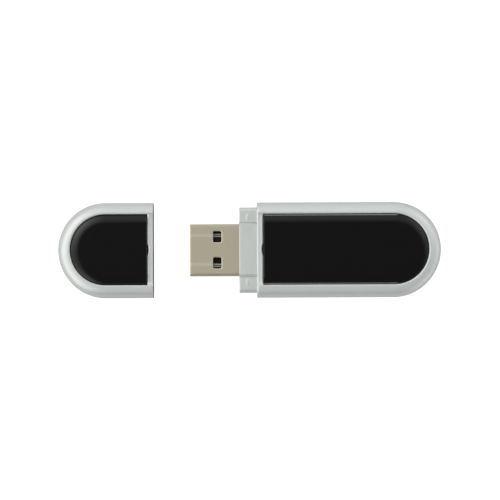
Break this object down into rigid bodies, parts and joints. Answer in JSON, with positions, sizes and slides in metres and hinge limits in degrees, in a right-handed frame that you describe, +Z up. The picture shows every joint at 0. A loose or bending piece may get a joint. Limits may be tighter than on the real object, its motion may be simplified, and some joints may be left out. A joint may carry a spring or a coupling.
{
  "type": "usb flash drive",
  "caption": "USB flash drive: flat round-ended silver housing with gloss black panels, a steel series A plug, and a matching cap pulled off in line with it.",
  "frame": {"origin": "under the middle of the whole object, on the surface that it lies on, with the cap pulled off", "axes": "+X along the drive from the cap, past the plug, to the round end of the body; +Z up through its thickness; +Y across it"},
  "size_m": [0.089, 0.022, 0.009],
  "materials": {
    "silver_plastic": "moulded ABS with satin silver paint",
    "gloss_black": "polished black acrylic",
    "plug_steel": "folded sheet, nickel plated, warm tint",
    "insulator_black": "moulded, dull",
    "contact_gold": "copper alloy, gold plated",
    "board_green": "glass-epoxy board with green solder mask",
    "chip_epoxy": "moulded epoxy; the tinned leads are part of the same solid",
    "can_metal": "plated can",
    "capacitor_ceramic": "fired, dull, tinned ends",
    "resistor_ceramic": "dark coating, tinned ends",
    "film_white": "double-sided adhesive film"
  },
  "bodies": {
    "drive": {"body_sleeve": "silver_plastic", "body_top_panel": "gloss_black", "body_bottom_panel": "gloss_black", "body_top_adhesive": "film_white", "body_bottom_adhesive": "film_white", "carrier_base": "silver_plastic", "carrier_cover": "silver_plastic", "plug_shell": "plug_steel", "plug_insulator": "insulator_black", "contact_power": "contact_gold", "contact_data_minus": "contact_gold", "contact_data_plus": "contact_gold", "contact_ground": "contact_gold", "circuit_board": "board_green", "controller_chip": "chip_epoxy", "flash_chip": "chip_epoxy", "voltage_regulator": "chip_epoxy", "crystal": "can_metal", "capacitor_1": "capacitor_ceramic", "capacitor_2": "capacitor_ceramic", "capacitor_3": "capacitor_ceramic", "capacitor_4": "capacitor_ceramic", "capacitor_5": "capacitor_ceramic", "capacitor_6": "capacitor_ceramic", "resistor_1": "resistor_ceramic", "resistor_2": "resistor_ceramic", "resistor_3": "resistor_ceramic", "resistor_4": "resistor_ceramic"},
    "cap": {"cap_sleeve": "silver_plastic", "cap_top_panel": "gloss_black", "cap_bottom_panel": "gloss_black", "cap_top_adhesive": "film_white", "cap_bottom_adhesive": "film_white"}
  },
  "joints": [
    {"name": "cap_slide", "type": "slide", "parent": "drive", "child": "cap", "axis": [1, 0, 0], "range_m": [0, 0.0239]}
  ]
}
